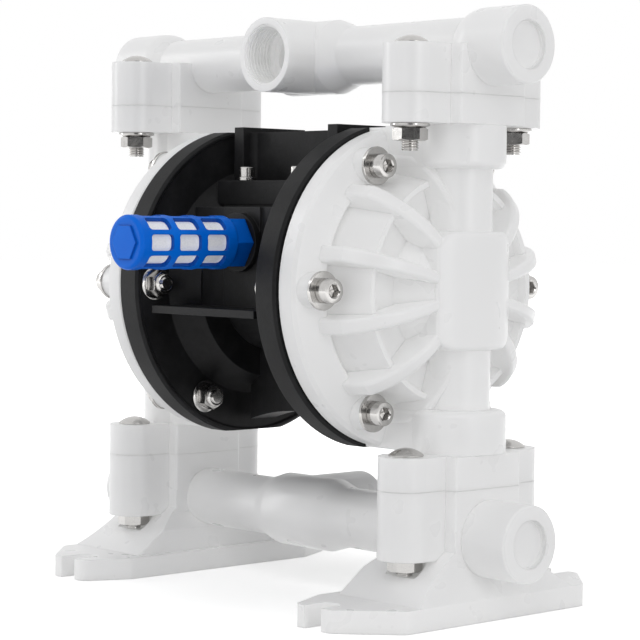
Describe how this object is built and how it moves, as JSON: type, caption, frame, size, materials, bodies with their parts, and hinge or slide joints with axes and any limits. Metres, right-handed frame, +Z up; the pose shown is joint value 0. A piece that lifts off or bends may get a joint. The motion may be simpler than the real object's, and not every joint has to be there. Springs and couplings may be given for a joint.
{
  "type": "air operated diaphragm pump",
  "caption": "Plastic air operated double diaphragm pump: ribbed fluid covers on one shaft, valve columns, pipe manifolds, slotted feet and a side muffler.",
  "frame": {"origin": "on the floor, midway between the two feet, below the middle of the diaphragm shaft", "axes": "+X along the diaphragm shaft, -Y towards the muffler, +Z up"},
  "size_m": [0.257, 0.1782, 0.2465],
  "materials": {
    "natural_pp": "natural milky moulded polypropylene, slightly translucent, satin gloss",
    "black_pp": "black glass-filled polypropylene, fine moulded matte",
    "blue_plastic": "satin moulded blue plastic",
    "white_felt": "porous white sintered plastic",
    "stainless": "bright stainless fasteners and shaft",
    "black_rubber": "matte black elastomer",
    "ball_rubber": "smooth elastomer ball",
    "white_acetal": "machined white acetal",
    "plate_aluminium": "plain aluminium"
  },
  "bodies": {
    "pump": {"air_cap_left": "black_pp", "air_cap_right": "black_pp", "air_cap_screws_left": "stainless", "air_cap_screws_right": "stainless", "ball_seats": "white_acetal", "center_body": "black_pp", "cover_nuts_left": "stainless", "cover_nuts_right": "stainless", "cover_screws_left": "stainless", "cover_screws_right": "stainless", "cover_washers_left": "stainless", "cover_washers_right": "stainless", "diaphragm_left": "black_rubber", "diaphragm_right": "black_rubber", "discharge_manifold": "natural_pp", "discharge_nuts": "stainless", "discharge_screws": "stainless", "fluid_cover_left": "natural_pp", "fluid_cover_right": "natural_pp", "muffler_cage": "blue_plastic", "muffler_element": "white_felt", "seat_seals": "black_rubber", "shaft_bush_left": "white_acetal", "shaft_bush_right": "white_acetal", "shaft_seal_left": "black_rubber", "shaft_seal_right": "black_rubber", "suction_manifold": "natural_pp", "suction_nuts": "stainless", "suction_screws": "stainless", "valve_gasket": "black_rubber", "valve_housing": "black_pp", "valve_plug_left": "black_pp", "valve_plug_right": "black_pp", "valve_screws": "stainless", "valve_sleeve": "white_acetal"},
    "shaft_assembly": {"main_shaft": "stainless", "inner_plate_left": "plate_aluminium", "inner_plate_right": "plate_aluminium", "outer_plate_left": "plate_aluminium", "outer_plate_right": "plate_aluminium"},
    "valve_spool": {"valve_spool": "white_acetal"},
    "pilot_rod": {"pilot_rod": "stainless"},
    "ball_discharge_left": {"ball_discharge_left": "ball_rubber"},
    "ball_discharge_right": {"ball_discharge_right": "ball_rubber"},
    "ball_suction_left": {"ball_suction_left": "ball_rubber"},
    "ball_suction_right": {"ball_suction_right": "ball_rubber"}
  },
  "joints": [
    {"name": "shaft_slide", "type": "slide", "parent": "pump", "child": "shaft_assembly", "axis": [1, 0, 0], "range_m": [-0.005, 0.005], "deforming": ["diaphragm_left", "diaphragm_right"]},
    {"name": "spool_slide", "type": "slide", "parent": "pump", "child": "valve_spool", "axis": [1, 0, 0], "range_m": [-0.003, 0.003]},
    {"name": "pilot_slide", "type": "slide", "parent": "pump", "child": "pilot_rod", "axis": [1, 0, 0], "range_m": [-0.0034, 0.0034]},
    {"name": "ball_discharge_left_lift", "type": "slide", "parent": "pump", "child": "ball_discharge_left", "axis": [0, 0, 1], "range_m": [0, 0.005]},
    {"name": "ball_discharge_right_lift", "type": "slide", "parent": "pump", "child": "ball_discharge_right", "axis": [0, 0, 1], "range_m": [0, 0.005]},
    {"name": "ball_suction_left_lift", "type": "slide", "parent": "pump", "child": "ball_suction_left", "axis": [0, 0, 1], "range_m": [0, 0.005]},
    {"name": "ball_suction_right_lift", "type": "slide", "parent": "pump", "child": "ball_suction_right", "axis": [0, 0, 1], "range_m": [0, 0.005]}
  ]
}
